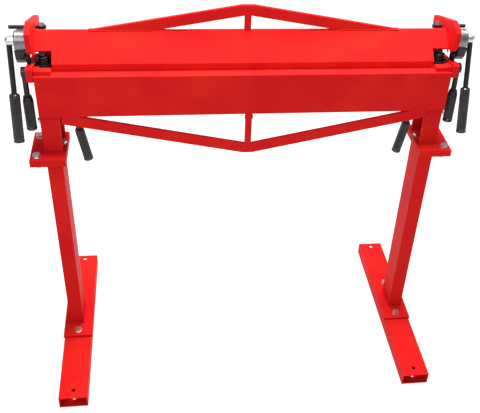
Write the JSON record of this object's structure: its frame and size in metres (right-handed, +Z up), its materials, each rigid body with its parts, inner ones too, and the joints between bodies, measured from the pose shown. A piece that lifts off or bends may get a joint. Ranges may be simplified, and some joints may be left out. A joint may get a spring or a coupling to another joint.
{
  "type": "sheet metal brake",
  "caption": "Floor-standing hand brake for bending sheet metal, with a trussed bending leaf hinged at the bed edge and a trussed clamping leaf drawn down by lever cams",
  "frame": {"origin": "On the floor, midway between the two feet, in line with the front faces of the legs", "axes": "+X to the operator's right, -Y toward the operator, +Z up"},
  "size_m": [1.126, 0.584, 0.9845],
  "materials": {
    "red_paint": "glossy red enamel",
    "zinc_steel": "bright zinc plated",
    "dark_steel": "dark oiled steel",
    "black_steel": "satin black oxide",
    "grip_rubber": "knurled black rubber"
  },
  "bodies": {
    "frame": {"left_foot": "red_paint", "right_foot": "red_paint", "left_base_plate": "red_paint", "right_base_plate": "red_paint", "base_bolts": "zinc_steel", "base_nuts": "zinc_steel", "left_leg": "red_paint", "right_leg": "red_paint", "left_leg_cap": "red_paint", "right_leg_cap": "red_paint", "left_machine_foot": "red_paint", "right_machine_foot": "red_paint", "inner_screws": "zinc_steel", "latch_brackets": "black_steel", "flange_bolts": "zinc_steel", "flange_nuts": "zinc_steel", "left_post": "red_paint", "right_post": "red_paint", "bed": "red_paint", "left_side_plate": "red_paint", "right_side_plate": "red_paint", "latch_pins": "zinc_steel", "spring_seats": "black_steel", "left_lift_spring": "black_steel", "right_lift_spring": "black_steel", "post_bolts": "zinc_steel"},
    "leaf": {"bending_leaf": "red_paint", "leaf_truss_left": "red_paint", "leaf_truss_right": "red_paint", "leaf_strut": "red_paint", "left_lug": "red_paint", "right_lug": "red_paint", "hinge_pins": "zinc_steel", "left_bend_lever": "black_steel", "right_bend_lever": "black_steel", "left_bend_grip": "grip_rubber", "right_bend_grip": "grip_rubber", "lever_sockets": "red_paint", "left_inner_lever": "black_steel", "right_inner_lever": "black_steel", "left_inner_grip": "grip_rubber", "right_inner_grip": "grip_rubber"},
    "clamp": {"clamping_leaf": "red_paint", "clamp_truss_left": "red_paint", "clamp_truss_right": "red_paint", "clamp_strut": "red_paint", "left_ear": "red_paint", "right_ear": "red_paint", "cross_bolts": "black_steel", "spring_pads": "black_steel"},
    "left_cam": {"left_shaft": "zinc_steel", "left_hub": "dark_steel", "left_clamp_cam": "black_steel", "left_clamp_lever": "black_steel", "left_clamp_grip": "grip_rubber"},
    "right_cam": {"right_shaft": "zinc_steel", "right_hub": "dark_steel", "right_clamp_cam": "black_steel", "right_clamp_lever": "black_steel", "right_clamp_grip": "grip_rubber"}
  },
  "joints": [
    {"name": "leaf_hinge", "type": "hinge", "parent": "frame", "child": "leaf", "pos_m": [0, 0.016, 0.848], "axis": [-1, 0, 0], "range_deg": [0, 90]},
    {"name": "clamp_lift", "type": "slide", "parent": "frame", "child": "clamp", "axis": [0, 0, 1], "range_m": [0, 0.006], "deforming": ["left_lift_spring", "right_lift_spring"]},
    {"name": "left_lever_turn", "type": "hinge", "parent": "clamp", "child": "left_cam", "pos_m": [-0.524, 0.04, 0.915], "axis": [-1, 0, 0], "range_deg": [0, 75]},
    {"name": "right_lever_turn", "type": "hinge", "parent": "clamp", "child": "right_cam", "pos_m": [0.524, 0.04, 0.915], "axis": [-1, 0, 0], "range_deg": [0, 75]}
  ],
  "couplings": [
    {"joint": "clamp_lift", "follows": "left_lever_turn", "m_per_rad": 0.0045837},
    {"joint": "right_lever_turn", "follows": "left_lever_turn", "ratio": 1}
  ]
}
